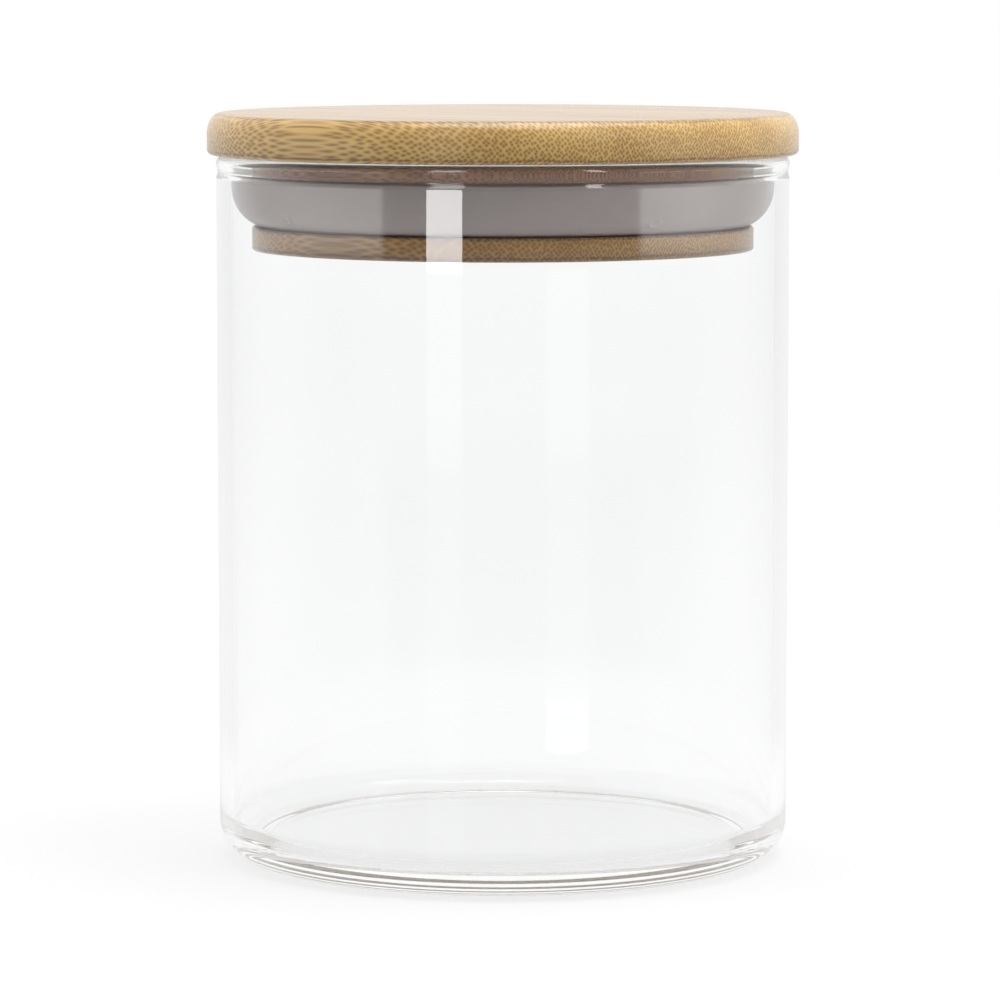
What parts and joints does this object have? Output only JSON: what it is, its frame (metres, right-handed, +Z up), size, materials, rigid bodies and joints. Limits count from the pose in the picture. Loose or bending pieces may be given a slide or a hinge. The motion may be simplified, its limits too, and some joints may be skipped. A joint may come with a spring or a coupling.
{
  "type": "glass food canister",
  "caption": "Round clear glass food canister with a flat bamboo lid that pushes in and seals with a silicone gasket.",
  "frame": {"origin": "on the jar's axis, at the surface the foot stands on", "axes": "+Z up along the jar's axis, towards the lid; +X and +Y are level, and the shape is the same all round"},
  "size_m": [0.1032, 0.1032, 0.1305],
  "materials": {
    "clear_glass": "clear polished borosilicate",
    "cap_bamboo": "satin clear-coated carbonised bamboo",
    "plug_bamboo": "satin clear-coated carbonised bamboo",
    "disc_bamboo": "satin clear-coated carbonised bamboo",
    "frosted_silicone": "frosted food-grade silicone"
  },
  "bodies": {
    "jar": {"glass_jar": "clear_glass"},
    "lid": {"lid_cap": "cap_bamboo", "lid_plug": "plug_bamboo", "lid_retaining_disc": "disc_bamboo", "silicone_gasket": "frosted_silicone"}
  },
  "joints": [
    {"name": "lid_lift", "type": "slide", "parent": "jar", "child": "lid", "axis": [0, 0, 1], "range_m": [0, 0.06]}
  ]
}
